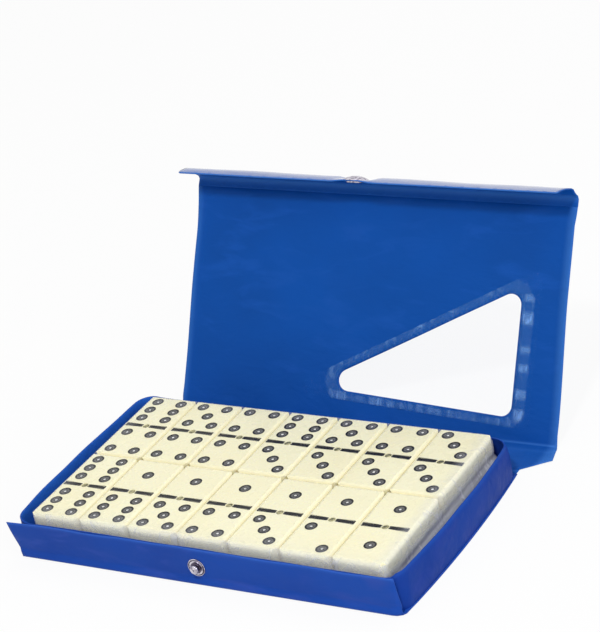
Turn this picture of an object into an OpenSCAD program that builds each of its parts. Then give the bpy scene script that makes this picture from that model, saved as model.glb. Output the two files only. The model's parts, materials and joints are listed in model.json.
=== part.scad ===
// Vinyl storage box for a double-six domino set, standing open.
// The cover is one sheet with creases: base, front panel, spine, lid and flap.
// X runs along the box, Y from the front to the back, and Z up.
// The origin is on the underside of the base, under the middle of the tiles.

/* [Dominoes] */
// Width of a tile
tile_w = 25; // [22:0.5:28]
// Length of a tile
tile_l = 50; // [44:0.5:56]
// Thickness of a tile
tile_t = 10; // [8:0.5:12]
// Rounding of a tile's corners, seen from above
tile_corner_r = 3; // [1:0.1:4]
// Rounding of a tile's top and bottom edges
tile_edge_r = 1.8; // [0.5:0.1:2]
// Gap between tiles that lie side by side
tile_gap = 0.15; // [0.1:0.05:0.5]
// Radius of a drilled pip at the surface
pip_r = 2.8; // [2:0.1:3]
// Depth of a drilled pip
pip_depth = 0.6; // [0.4:0.05:1]
// Thickness of the paint at the bottom of a pip
pip_paint_t = 0.5; // [0.1:0.05:0.55]
// Distance between pip columns
pip_pitch_x = 6.4; // [6:0.1:7.5]
// Distance between pip rows
pip_pitch_y = 6.9; // [6.5:0.1:8]
// Distance from a tile's middle to the middle of one half
half_centre = 13.2; // [12:0.1:14]

/* [Divider and pin] */
// Distance from a tile's middle to the far end of a divider line
divider_reach = 10.8; // [7:0.1:11]
// Distance from a tile's middle to the near end of a divider line
divider_start = 1.9; // [1.8:0.1:4]
// Width of a divider line
divider_w = 2; // [0.6:0.1:3]
// Depth of a divider line
divider_depth = 0.5; // [0.3:0.05:0.9]
// Thickness of the paint in a divider line
divider_paint_t = 0.4; // [0.1:0.05:0.45]
// Radius of a spinner pin's head
pin_head_r = 1.6; // [1.2:0.1:2]
// Height of a spinner pin's head
pin_head_h = 0.7; // [0.4:0.1:1]
// Radius of a spinner pin's shank
pin_shank_r = 0.7; // [0.5:0.1:0.9]
// Length of a spinner pin's shank
pin_shank_l = 4.5; // [3:0.5:6]

/* [Vinyl sheet] */
// Thickness of the cover sheet
sheet_t = 0.6; // [0.4:0.1:1]
// Width of the lid and of the flap's root
lid_w = 194; // [190:1:200]
// How far the soft open cover sits to the right of the tray
lid_shift = 5; // [0:0.5:6]
// Radius of the small roundings at the sheet's free corners
sheet_corner_r = 1.5; // [0.5:0.5:3]
// Free strip on each side of a crease line
crease_gap = 0.4; // [0.4:0.05:0.8]
// How far the spine's right end flares beyond the lid
spine_flare = 4.5; // [0:0.5:5]
// Distance along the spine at which the flare is widest
spine_flare_at = 11; // [6:0.5:12]
// Depth of the closure flap
flap_depth = 18.5; // [17:0.5:20]
// How far the flap's free edge runs past its root on the left
flap_skew = 1; // [0:0.5:6]
// How far the front panel's top left corner stands out beyond its foot
front_flare = 4; // [0:0.2:5]
// How far the front panel's top right corner is drawn in from its foot
front_draw = 1.4; // [0:0.2:3]
// How far the front panel's ends stop short of the base's ends
front_inset = 0.6; // [0:0.2:3]

/* [Tray] */
// Height of the tray wall above the base sheet
wall_h = 17.4; // [14:0.2:18.6]
// Thickness of the tray wall
wall_t = 0.7; // [0.5:0.1:1.2]
// Radius of the tray's upright corners, outside
tray_corner_r = 8; // [4:0.5:14]
// How far the tray's ends bow out at their middle
end_bow = 2.2; // [0.5:0.1:4]
// Space between the wrapped tiles and the tray's ends, at the corners
end_gap = 6.2; // [5:0.1:9]
// Space between the wrapped tiles and the tray's front and back walls
side_gap = 2.4; // [1.5:0.1:4]
// Width of the welded foot inside the wall
foot_w = 1.2; // [0.8:0.1:1.4]
// Thickness of the welded foot
foot_t = 0.6; // [0.3:0.1:1]
// Space between the tray's front wall and the front panel
front_gap = 0.3; // [0.1:0.1:1]
// How far the front panel's top edge stays below the wall's
front_drop = 1; // [0:0.2:4]

/* [Window] */
// Distance from the lid's right edge to the window
window_margin = 21.8; // [16:0.2:30]
// Distance from the lid crease to the window's lower right corner
window_bottom = 10.6; // [8:0.2:16]
// Height of the window's upright side, measured to the sharp corners
window_h = 58; // [45:1:64]
// Length of the window's lower side, measured to the sharp corners
window_w = 103; // [80:1:115]
// How much the window's lower side climbs towards the left
window_climb = 5; // [0:0.5:8]
// Radius of the window's corners
window_r = 5.2; // [3:0.2:7]
// Thickness of the clear window film
film_t = 0.25; // [0.15:0.05:0.5]
// Width of the weld seam round the window
weld_w = 4; // [3:0.5:6]
// Width of the weld seam along the window's upright side
weld_side_w = 9; // [4:0.5:12]

/* [Snap fastener] */
// Place of the snap along the box, from its middle
snap_x = -1.5; // [-20:0.5:20]
// Height of the snap above the base's underside
snap_z = 8.5; // [7.5:0.25:11]
// Radius of the stud's flange
stud_flange_r = 4.2; // [3.4:0.1:4.6]
// Thickness of the stud's flange
stud_flange_t = 0.5; // [0.4:0.1:1]
// Radius of the stud's neck
stud_neck_r = 1.65; // [1.3:0.05:1.8]
// Radius of the stud's ball
stud_ball_r = 2.1; // [1.9:0.05:2.4]
// Height of the stud's ball above its flange
stud_ball_h = 2.4; // [2:0.1:2.6]
// Radius of the rivet shank
rivet_r = 1.3; // [1:0.1:1.6]
// Radius of the rivet's backing washer
washer_r = 3.5; // [3:0.1:4.5]
// Thickness of the rivet's backing washer
washer_t = 0.5; // [0.3:0.1:0.8]
// Outside radius of the socket ring
socket_r = 4.7; // [4.2:0.1:5.5]
// Thickness of the socket ring
socket_t = 1; // [0.8:0.1:1.2]
// Radius of the cap
cap_r = 6.2; // [5.6:0.1:7]
// Height of the cap's dome
cap_h = 1.8; // [1.4:0.1:2.4]
// Thickness of the cap's metal
cap_wall_t = 0.4; // [0.3:0.05:0.5]
// Outside radius of the cap's tube
cap_tube_r = 3; // [2.8:0.05:3.2]
// Space round the ball and between parts that come apart
snap_play = 0.12; // [0.1:0.02:0.3]

/* [Pose] */
// Angle of the open lid above the surface that the case stands on
lid_rise = 57.7; // [30:0.1:85]
// Fold of the flap, from flat with the lid
flap_fold = 90; // [60:1:90]

/* [Shrink film] */
// Thickness of the shrink film
wrap_t = 0.1; // [0.05:0.05:0.2]
// How far the film reaches over the edges of the pack
wrap_lip = 7; // [4:0.5:12]
// Radius of the corners of the film's openings
wrap_opening_r = 6; // [2:0.5:10]

/* [Hidden] */
COLUMNS = 7;
ROWS = 2;
LAYERS = 2;

// Each tile is [pips on its back half, pips on its front half]. The top layer's
// order is the one on view, from left to right, the back row first.
TOP_BACK = [[6, 4], [5, 4], [4, 4], [6, 3], [5, 3], [4, 3], [3, 3]];
TOP_FRONT = [[6, 6], [1, 6], [1, 5], [1, 4], [1, 3], [1, 2], [1, 1]];
BOTTOM_BACK = [[0, 0], [1, 0], [2, 0], [3, 0], [4, 0], [5, 0], [6, 0]];
BOTTOM_FRONT = [[2, 2], [3, 2], [4, 2], [5, 2], [6, 2], [5, 5], [6, 5]];
TILES = concat(BOTTOM_FRONT, BOTTOM_BACK, TOP_FRONT, TOP_BACK);

function tile_name(tile) = str("domino_", max(tile), "_", min(tile));

$fn = 96;
SMALL_FN = 48;
PAINT_FN = 32;
BOW_FN = 240;
BOW_STEPS = 24;
CORNER_STEPS = 16;
DOME_STEPS = 12;
EPS = 0.01;

VINYL = [0.1, 0.3, 0.65];
WALL_VINYL = [0.14, 0.25, 0.6];
IVORY = [0.96, 0.94, 0.83];
PAINT = [0.09, 0.09, 0.1];
BRASS = [0.72, 0.66, 0.36];
NICKEL = [0.74, 0.74, 0.76];
CLEAR = [0.95, 0.97, 1, 0.3];

// The wrapped pack of tiles
pitch_x = tile_w + tile_gap;
pitch_y = tile_l + tile_gap;
pack_w = COLUMNS*pitch_x - tile_gap;
pack_l = ROWS*pitch_y - tile_gap;
pack_h = LAYERS*tile_t;
pack_z = sheet_t + wrap_t;
wrap_w = pack_w + 2*wrap_t;
wrap_l = pack_l + 2*wrap_t;

// The tray's plan, whose ends are arcs of one large circle
tray_w = wrap_w + 2*(end_gap + wall_t);
tray_l = wrap_l + 2*(side_gap + wall_t);
bow_r = (pow(tray_l/2, 2) + pow(end_bow, 2))/(2*end_bow);
bow_x = bow_r - tray_w/2 - end_bow;
corner_y = tray_l/2 - tray_corner_r;
corner_x = sqrt(pow(bow_r - tray_corner_r, 2) - pow(corner_y, 2)) - bow_x;
touch_angle = atan2(corner_y, corner_x + bow_x);

// Crease lines. The closed lid's film rests just above the tiles, and the closed flap
// hangs one snap's height in front of the front panel.
crease_z = sheet_t/2;
back_crease_y = tray_l/2 + crease_gap;
front_y = -tray_l/2 - front_gap - sheet_t/2;
front_face_y = front_y - sheet_t/2;
closed_lid_z = pack_z + pack_h + wrap_t + snap_play + film_t + sheet_t/2;
spine_len = closed_lid_z - crease_z;
snap_stack = stud_flange_t + snap_play + socket_t;
closed_flap_y = front_face_y - snap_stack - sheet_t/2;
lid_len = back_crease_y - closed_flap_y;
flap_snap_at = closed_lid_z - snap_z;

lid_left = lid_shift - lid_w/2;
lid_right = lid_shift + lid_w/2;
base_corner_x = tray_w/2;
wall_top_z = sheet_t + wall_h;
front_top_z = wall_top_z - front_drop;

// The window's three sharp corners: lower right, upper right and left
window_x = lid_right - window_margin;
WINDOW = [
    [window_x, window_bottom],
    [window_x, window_bottom + window_h],
    [window_x - window_w, window_bottom + window_climb]];

function unit(v) = v/norm(v);

// Points of the arc that rounds the corner b between a and c
function round_corner(a, b, c, r, steps = 12) =
    let (
        u = unit(a - b),
        v = unit(c - b),
        half = acos(u*v)/2,
        centre = b + unit(u + v)*r/sin(half),
        start = b + u*r/tan(half) - centre,
        sweep = 180 - 2*half,
        turn = sign(u[0]*v[1] - u[1]*v[0]))
    [for (i = [0:steps])
        let (t = -turn*sweep*i/steps)
        centre + [start[0]*cos(t) - start[1]*sin(t), start[0]*sin(t) + start[1]*cos(t)]];

function rounded(points, r) =
    let (n = len(points))
    [for (i = [0:n - 1])
        each round_corner(points[(i + n - 1)%n], points[i], points[(i + 1)%n], r)];

// Points along an arc, without skip of them at each end
function arc(centre, r, from, to, steps, skip = 0) = [
    for (i = [skip:steps - skip])
        let (a = from + (to - from)*i/steps)
        centre + r*[cos(a), sin(a)]];

// The tray's plan, drawn in by inset. Each end's large arc runs into the corners' arcs.
function tray_outline(inset) =
    let (
        end_r = bow_r - inset,
        corner_r = tray_corner_r - inset,
        t = touch_angle)
    concat(
        arc([-bow_x, 0], end_r, -t, t, BOW_STEPS, 1),
        arc([corner_x, corner_y], corner_r, t, 90, CORNER_STEPS),
        arc([-corner_x, corner_y], corner_r, 90, 180 - t, CORNER_STEPS),
        arc([bow_x, 0], end_r, 180 - t, 180 + t, BOW_STEPS, 1),
        arc([-corner_x, -corner_y], corner_r, 180 + t, 270, CORNER_STEPS),
        arc([corner_x, -corner_y], corner_r, 270, 360 - t, CORNER_STEPS));

// The line through a and b, moved to its right by d, as a point and a direction
function moved_line(a, b, d) = let (u = unit(b - a)) [a + d*[u[1], -u[0]], u];

function crossing(l, m) = l[0] + l[1]*cross(m[0] - l[0], m[1])/cross(l[1], m[1]);

// A counter-clockwise outline with each side moved outwards by its own width
function grown(points, widths) =
    let (
        n = len(points),
        lines = [for (i = [0:n - 1]) moved_line(points[i], points[(i + 1)%n], widths[i])])
    [for (i = [0:n - 1]) crossing(lines[(i + n - 1)%n], lines[i])];

// Where the pips of one half lie, for 0 to 6 pips, in steps of the pip pitch
PIP_PLACES = [
    [],
    [[0, 0]],
    [[-1, 1], [1, -1]],
    [[-1, 1], [0, 0], [1, -1]],
    [[-1, 1], [1, 1], [-1, -1], [1, -1]],
    [[-1, 1], [1, 1], [0, 0], [-1, -1], [1, -1]],
    [[-1, 1], [-1, 0], [-1, -1], [1, 1], [1, 0], [1, -1]]];

pip_sphere_r = (pow(pip_r, 2) + pow(pip_depth, 2))/(2*pip_depth);

// Places

module in_spine() {
    translate([0, back_crease_y, crease_z]) children();
}

module in_lid() {
    translate([0, back_crease_y + spine_len, crease_z]) rotate([lid_rise, 0, 0]) children();
}

module in_flap() {
    in_lid() translate([0, lid_len, 0]) rotate([flap_fold, 0, 0]) children();
}

module at_tile(index) {
    layer = floor(index/(COLUMNS*ROWS));
    row = floor(index/COLUMNS)%ROWS;
    column = index%COLUMNS;
    translate([
        (column - (COLUMNS - 1)/2)*pitch_x,
        (row - (ROWS - 1)/2)*pitch_y,
        pack_z + layer*tile_t]) children();
}

module at_pips(tile) {
    for (end = [0, 1])
        for (place = PIP_PLACES[tile[end]])
            translate([
                place[0]*pip_pitch_x,
                place[1]*pip_pitch_y + (end == 0 ? half_centre : -half_centre),
                tile_t]) children();
}

// Shared shapes

module panel(points) {
    translate([0, 0, -sheet_t/2]) linear_extrude(sheet_t) polygon(rounded(points, sheet_corner_r));
}

module rounded_block(w, l, h, corner_r, edge_r) {
    intersection() {
        linear_extrude(h) rounded_rect(w, l, corner_r);
        translate([0, l/2, h/2]) rotate([90, 0, 0]) linear_extrude(l) rounded_rect(w, h, edge_r);
        translate([-w/2, 0, h/2]) rotate([90, 0, 90]) linear_extrude(w) rounded_rect(l, h, edge_r);
    }
}

module rounded_rect(w, l, r) {
    square([w - 2*r, l], center = true);
    square([w, l - 2*r], center = true);
    for (x = [-1, 1])
        for (y = [-1, 1])
            translate([x*(w/2 - r), y*(l/2 - r)]) circle(r, $fn = SMALL_FN);
}

// Cover sheet

module base_panel() {
    color(VINYL) linear_extrude(sheet_t) intersection() {
        translate([-bow_x, 0]) circle(bow_r, $fn = BOW_FN);
        translate([bow_x, 0]) circle(bow_r, $fn = BOW_FN);
        translate([-tray_w, front_y + crease_gap])
            square([2*tray_w, tray_l/2 - front_y - crease_gap]);
    }
}

module front_panel() {
    foot = base_corner_x - front_inset;
    h = front_top_z - crease_z;
    color(WALL_VINYL) difference() {
        translate([0, front_y, crease_z]) rotate([90, 0, 0])
            panel([[-foot, 0], [foot, 0], [foot - front_draw, h], [-foot - front_flare, h]]);
        along_snap() cylinder(r = rivet_r, h = 4*snap_stack, center = true);
    }
}

module spine_panel() {
    flare_x = lid_right + spine_flare;
    color(VINYL) in_spine() panel([
        [-base_corner_x, crease_gap],
        [base_corner_x, crease_gap],
        [flare_x, spine_flare_at],
        [lid_right, spine_len - crease_gap],
        [lid_left, spine_len - crease_gap]]);
}

module lid_panel() {
    color(VINYL) in_lid() difference() {
        panel([
            [lid_left, crease_gap],
            [lid_right, crease_gap],
            [lid_right, lid_len - crease_gap],
            [lid_left, lid_len - crease_gap]]);
        translate([0, 0, -sheet_t]) linear_extrude(2*sheet_t) polygon(rounded(WINDOW, window_r));
    }
}

module window_film() {
    seam = grown(WINDOW, [weld_side_w, weld_w, weld_w]);
    color(CLEAR) in_lid() translate([0, 0, sheet_t/2]) linear_extrude(film_t)
        polygon(rounded(seam, weld_w));
}

module closure_flap() {
    color(VINYL) difference() {
        in_flap() panel([
            [lid_left, crease_gap],
            [lid_left - flap_skew, flap_depth],
            [lid_right - flap_skew, flap_depth],
            [lid_right, crease_gap]]);
        along_flap_snap() cylinder(r = cap_tube_r, h = 4*sheet_t, center = true);
    }
}

// Tray

module tray_wall() {
    color(WALL_VINYL) difference() {
        translate([0, 0, sheet_t]) linear_extrude(wall_h) polygon(tray_outline(0));
        translate([0, 0, sheet_t + foot_t]) linear_extrude(wall_h) polygon(tray_outline(wall_t));
        linear_extrude(wall_h) polygon(tray_outline(wall_t + foot_w));
        along_snap() cylinder(r = rivet_r, h = 4*snap_stack, center = true);
    }
}

// Snap fastener

// From the front panel's outer face, pointing forwards
module along_snap() {
    translate([snap_x, front_face_y, snap_z]) rotate([90, 0, 0]) children();
}

// From the flap's middle plane, pointing to its inner side
module along_flap_snap() {
    in_flap() translate([snap_x, flap_snap_at, 0]) children();
}

module snap_stud() {
    shank_l = sheet_t + front_gap + wall_t + washer_t;
    clinch_t = 0.4;
    clinch_r = rivet_r + 0.5;
    rim = 0.2;
    ball_h = 0.4*stud_ball_h;
    ball_z = stud_flange_t + stud_ball_h - ball_h;
    ball_bottom = -36;
    ball_step = 18;
    color(NICKEL) along_snap() rotate_extrude() polygon([
        [0, -shank_l - clinch_t],
        [clinch_r, -shank_l - clinch_t],
        [clinch_r, -shank_l],
        [rivet_r, -shank_l],
        [rivet_r, 0],
        [stud_flange_r, 0],
        [stud_flange_r, stud_flange_t - rim],
        [stud_flange_r - rim, stud_flange_t],
        [stud_neck_r, stud_flange_t],
        for (a = [ball_bottom:ball_step:90])
            [max(a < 0 ? stud_neck_r : 0, stud_ball_r*cos(a)), ball_z + ball_h*sin(a)]]);
}

module stud_washer() {
    color(NICKEL) along_snap() translate([0, 0, -sheet_t - front_gap - wall_t - washer_t])
        difference() {
            cylinder(r = washer_r, h = washer_t);
            translate([0, 0, -washer_t]) cylinder(r = rivet_r, h = 3*washer_t);
        }
}

module snap_socket() {
    bore_r = stud_ball_r + snap_play;
    seat_t = socket_t/2;
    rim = 0.25;
    color(NICKEL) along_flap_snap() translate([0, 0, sheet_t/2]) rotate_extrude() polygon([
        [cap_tube_r, 0],
        [socket_r, 0],
        [socket_r, socket_t - rim],
        [socket_r - rim, socket_t],
        [bore_r, socket_t],
        [bore_r, seat_t],
        [cap_tube_r, seat_t]]);
}

module snap_cap() {
    dome_r = (pow(cap_r, 2) + pow(cap_h, 2))/(2*cap_h);
    hollow_r = dome_r - cap_wall_t;
    edge_r = sqrt(pow(hollow_r, 2) - pow(dome_r - cap_h, 2));
    bore_r = cap_tube_r - cap_wall_t;
    tube_end = sheet_t + socket_t/2;
    color(NICKEL) along_flap_snap() translate([0, 0, -sheet_t/2]) rotate_extrude() polygon([
        for (i = [0:DOME_STEPS])
            dome_point(cap_r*i/DOME_STEPS, dome_r, dome_r),
        for (i = [0:DOME_STEPS])
            dome_point(edge_r + (cap_tube_r - edge_r)*i/DOME_STEPS, hollow_r, dome_r),
        [cap_tube_r, tube_end],
        [bore_r, tube_end],
        for (i = [0:DOME_STEPS])
            dome_point(bore_r*(1 - i/DOME_STEPS), hollow_r, dome_r)]);
}

// A point of the cap's dome, or of its hollow, at distance r from the axis
function dome_point(r, sphere_r, dome_r) = [r, dome_r - cap_h - sqrt(pow(sphere_r, 2) - pow(r, 2))];

// Dominoes

module domino(index) {
    tile = TILES[index];
    color(IVORY) at_tile(index) difference() {
        rounded_block(tile_w, tile_l, tile_t, tile_corner_r, tile_edge_r);
        at_pips(tile) translate([0, 0, pip_sphere_r - pip_depth]) sphere(pip_sphere_r);
        dividers(divider_depth, divider_depth + EPS);
        translate([0, 0, tile_t - pin_head_h]) cylinder(r = pin_head_r, h = 2*pin_head_h);
        translate([0, 0, tile_t - pin_head_h - pin_shank_l])
            cylinder(r = pin_shank_r, h = pin_shank_l + EPS);
    }
}

// The two short lines beside the pin, from depth below the face and h high
module dividers(depth, h) {
    length = divider_reach - divider_start;
    for (side = [-1, 1])
        translate([side*(divider_start + length/2), 0, tile_t - depth + h/2])
            cube([length, divider_w, h], center = true);
}

module pip_paint() {
    steps = 4;
    paint_r = sqrt(pow(pip_sphere_r, 2) - pow(pip_sphere_r - pip_paint_t, 2));
    color(PAINT) for (index = [0:len(TILES) - 1])
        at_tile(index) at_pips(TILES[index]) translate([0, 0, pip_sphere_r - pip_depth])
            rotate_extrude($fn = PAINT_FN) polygon([
                for (i = [0:steps])
                    let (r = paint_r*i/steps)
                    [r, -sqrt(pow(pip_sphere_r, 2) - pow(r, 2))],
                [0, pip_paint_t - pip_sphere_r]]);
}

module divider_paint() {
    color(PAINT) for (index = [0:len(TILES) - 1])
        at_tile(index) dividers(divider_depth, divider_paint_t);
}

module spinner_pins() {
    rim_h = 0.4*pin_head_h;
    slope_h = 0.8*pin_head_h;
    slope_r = 0.75*pin_head_r;
    flat_h = pin_head_h - EPS;
    flat_r = 0.3*pin_head_r;
    color(BRASS) for (index = [0:len(TILES) - 1])
        at_tile(index) translate([0, 0, tile_t - pin_head_h]) rotate_extrude() polygon([
            [0, -pin_shank_l],
            [pin_shank_r, -pin_shank_l],
            [pin_shank_r, 0],
            [pin_head_r, 0],
            [pin_head_r, rim_h],
            [slope_r, slope_h],
            [flat_r, flat_h],
            [0, flat_h]]);
}

// A band round the pack's four sides, shrunk over its top and bottom edges
module shrink_film() {
    h = pack_h + 2*wrap_t;
    color(CLEAR) translate([0, 0, sheet_t]) difference() {
        rounded_block(wrap_w, wrap_l, h, tile_corner_r, tile_edge_r);
        translate([0, 0, wrap_t])
            rounded_block(pack_w, pack_l, pack_h, tile_corner_r, tile_edge_r);
        translate([0, 0, -h]) linear_extrude(3*h)
            rounded_rect(pack_w - 2*wrap_lip, pack_l - 2*wrap_lip, wrap_opening_r);
    }
}

base_panel();
front_panel();
tray_wall();
spine_panel();
lid_panel();
window_film();
closure_flap();
snap_stud();
stud_washer();
snap_cap();
snap_socket();
pip_paint();
divider_paint();
spinner_pins();
shrink_film();
for (index = [0:len(TILES) - 1])
    domino(index);
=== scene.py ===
"""Vinyl storage box for a double-six domino set, standing open: how it looks.

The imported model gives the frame. The cover, the tray and the shrink film are soft sheets, and
they are built here as bent sheets in place of the model's stiff panels. Everything is in metres.
"""

import json
import math

import bmesh
import bpy
import numpy as np
from mathutils import Matrix, Vector, noise
from mathutils.geometry import delaunay_2d_cdt


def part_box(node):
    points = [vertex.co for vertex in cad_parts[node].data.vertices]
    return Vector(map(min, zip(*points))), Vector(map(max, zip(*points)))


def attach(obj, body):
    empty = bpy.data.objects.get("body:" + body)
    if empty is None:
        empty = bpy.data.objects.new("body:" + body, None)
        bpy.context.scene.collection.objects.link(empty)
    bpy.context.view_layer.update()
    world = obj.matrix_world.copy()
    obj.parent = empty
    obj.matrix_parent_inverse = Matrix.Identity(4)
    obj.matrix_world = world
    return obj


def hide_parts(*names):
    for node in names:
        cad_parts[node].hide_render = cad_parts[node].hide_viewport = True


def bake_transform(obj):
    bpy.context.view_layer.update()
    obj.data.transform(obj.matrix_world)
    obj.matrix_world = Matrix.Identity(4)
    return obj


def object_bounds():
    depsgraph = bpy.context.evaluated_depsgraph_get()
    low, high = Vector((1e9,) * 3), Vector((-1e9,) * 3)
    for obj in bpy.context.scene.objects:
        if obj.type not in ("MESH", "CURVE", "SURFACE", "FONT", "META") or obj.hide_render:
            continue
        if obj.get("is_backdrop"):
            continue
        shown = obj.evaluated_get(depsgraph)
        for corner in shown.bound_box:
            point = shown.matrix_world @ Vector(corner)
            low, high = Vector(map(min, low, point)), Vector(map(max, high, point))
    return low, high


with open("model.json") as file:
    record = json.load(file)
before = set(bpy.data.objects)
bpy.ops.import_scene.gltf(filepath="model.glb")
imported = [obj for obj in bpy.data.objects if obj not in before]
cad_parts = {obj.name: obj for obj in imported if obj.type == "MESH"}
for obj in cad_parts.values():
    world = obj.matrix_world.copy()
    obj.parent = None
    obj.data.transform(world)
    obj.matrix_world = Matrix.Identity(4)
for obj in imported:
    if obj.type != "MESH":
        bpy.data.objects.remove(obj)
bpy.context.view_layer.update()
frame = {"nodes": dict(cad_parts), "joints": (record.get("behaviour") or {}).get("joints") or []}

MM = 0.001

# Sizes that the model gives

JOINTS = {joint["name"]: joint for joint in frame["joints"]}
BACK_CREASE, LID_CREASE, FLAP_CREASE = (
    Vector(JOINTS[name]["pos_m"]) for name in ("spine_hinge", "lid_hinge", "flap_hinge"))
SPINE_LENGTH = LID_CREASE.y - BACK_CREASE.y
LID_LENGTH = (FLAP_CREASE - LID_CREASE).length
LID_UP = (FLAP_CREASE - LID_CREASE).normalized()
LID_RISE = math.atan2(LID_UP.z, LID_UP.y)
SHEET = 2 * BACK_CREASE.z

_, base_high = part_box("base_panel")
front_low, front_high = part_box("front_panel")
_, wall_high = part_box("tray_wall")
lid_low, lid_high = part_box("lid_panel")
spine_low, spine_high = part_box("spine_panel")
pack_low, pack_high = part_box("shrink_film")
stud_low, stud_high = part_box("snap_stud")

FRONT_Y = (front_low.y + front_high.y) / 2
SNAP_X = (stud_low.x + stud_high.x) / 2
SNAP_Z = (stud_low.z + stud_high.z) / 2


# Materials

def feed(tree, socket, value):
    """Links another node's output to the socket, or sets a plain value on it."""
    if isinstance(value, bpy.types.NodeSocket):
        tree.links.new(value, socket)
    else:
        socket.default_value = value


def set_inputs(tree, node, **values):
    for key, value in values.items():
        feed(tree, node.inputs[key.replace("_", " ")], value)
    return node


def add_node(tree, kind, **values):
    return set_inputs(tree, tree.nodes.new("ShaderNode" + kind), **values)


def new_material(name):
    material = bpy.data.materials.new(name)
    material.use_nodes = True
    return material, material.node_tree, material.node_tree.nodes["Principled BSDF"]


def place_output(tree, stretch=(1, 1, 1), turn=(0, 0, 0)):
    """The place on the object, in metres, turned and stretched."""
    coords = add_node(tree, "TexCoord").outputs["Object"]
    return add_node(tree, "Mapping", Vector=coords, Scale=stretch, Rotation=turn).outputs["Vector"]


def noise_output(tree, vector, size, detail=3.0, roughness=0.5, distortion=0.0):
    """Noise with blotches of a size in millimetres."""
    return add_node(tree, "TexNoise", Vector=vector, Scale=1 / (size * MM), Detail=detail,
                    Roughness=roughness, Distortion=distortion).outputs["Fac"]


def ramp(tree, value, low, high):
    """A colour between two, each given as (value, colour)."""
    node = add_node(tree, "ValToRGB", Fac=value)
    for element, (position, colour) in zip(node.color_ramp.elements, (low, high)):
        element.position = position
        element.color = (*colour, 1)
    return node.outputs["Color"]


def bump(tree, shader, *heights):
    """Adds bumps to the shader, each a (height output, depth in metres) pair, one on another."""
    normal = {}
    for height, depth in heights:
        node = add_node(tree, "Bump", Distance=depth, Height=height, **normal)
        normal = {"Normal": node.outputs["Normal"]}
    set_inputs(tree, shader, **normal)


def map_range(tree, value, low, high, to_low=0.0, to_high=1.0, kind="SMOOTHSTEP"):
    node = add_node(tree, "MapRange", Value=value, From_Min=low, From_Max=high, To_Min=to_low,
                    To_Max=to_high)
    node.interpolation_type = kind
    return node.outputs["Result"]


def maths(tree, operation, a, b=0):
    node = add_node(tree, "Math")
    node.operation = operation
    feed(tree, node.inputs[0], a)
    feed(tree, node.inputs[1], b)
    return node.outputs[0]


def attribute(tree, name):
    node = add_node(tree, "Attribute")
    node.attribute_name = name
    return node.outputs["Fac"]


def mix_colour(tree, factor, a, b):
    node = add_node(tree, "Mix")
    node.data_type = "RGBA"
    for i, value in ((0, factor), (6, a), (7, b)):
        feed(tree, node.inputs[i], (*value, 1) if isinstance(value, tuple) else value)
    return node.outputs[2]


def vinyl(name, colour, deep, streak, pale, roughness, specular, grain_depth, coat=0.0):
    """Soft vinyl sheet: one blue, cloudy on a large scale, with slanting soft streaks, and lighter
    where its painted-light attribute says so: painted highlights on rims, creases, folds and edges."""
    material, tree, shader = new_material(name)
    place = place_output(tree)
    body = ramp(tree, noise_output(tree, place, 55, 2), (0.35, deep), (0.65, colour))
    slanted = place_output(tree, (0.5, 1.0, 1.6), (0, math.radians(32), 0))
    streaks = noise_output(tree, slanted, 13, distortion=0.6)
    body = mix_colour(tree, map_range(tree, streaks, 0.5, 0.72), body, streak)
    wear = noise_output(tree, place, 9, 4)
    # The attribute mixes in the colour of the painted highlight, which is painted light
    set_inputs(tree, shader, Base_Color=mix_colour(tree, attribute(tree, "pale"), body, pale),
               Roughness=map_range(tree, wear, 0.3, 0.7, roughness - 0.05, roughness + 0.07),
               Specular_IOR_Level=specular, IOR=1.5, Coat_Weight=coat, Coat_Roughness=0.12)
    grain = noise_output(tree, place, 0.9, 2, 0.6)
    ripple = noise_output(tree, place_output(tree, (1, 1.7, 1.7)), 14, 2, distortion=0.4)
    bump(tree, shader, (ripple, 0.5 * MM), (grain, grain_depth))
    return material


# Colour of the painted highlights on the cover; each vinyl's last colour below is its painted
# highlight
COVER_PAINTED_LIGHT = (0.045, 0.19, 0.60)
COVER = vinyl("cover_vinyl", (0.003, 0.077, 0.385), (0.003, 0.068, 0.335), (0.006, 0.082, 0.40),
              COVER_PAINTED_LIGHT, 0.48, 0.09, 0.05 * MM)
COVER_OUTSIDE = vinyl("cover_vinyl_outside", (0.004, 0.077, 0.385), (0.004, 0.068, 0.335),
                      (0.008, 0.085, 0.40), COVER_PAINTED_LIGHT, 0.2, 0.5, 0.003 * MM, 1.0)
TRAY = vinyl("tray_vinyl", (0.009, 0.067, 0.385), (0.010, 0.056, 0.335), (0.024, 0.072, 0.385),
             (0.035, 0.12, 0.52), 0.42, 0.10, 0.02 * MM)
TRAY_BAND = vinyl("tray_vinyl_band", (0.007, 0.047, 0.31), (0.008, 0.041, 0.275),
                  (0.012, 0.047, 0.31), (0.030, 0.17, 0.72), 0.45, 0.06, 0.02 * MM)

TILE_PITCH = 25.15 * MM
ROW_ENDS = (84 * MM, 86 * MM)


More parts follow.
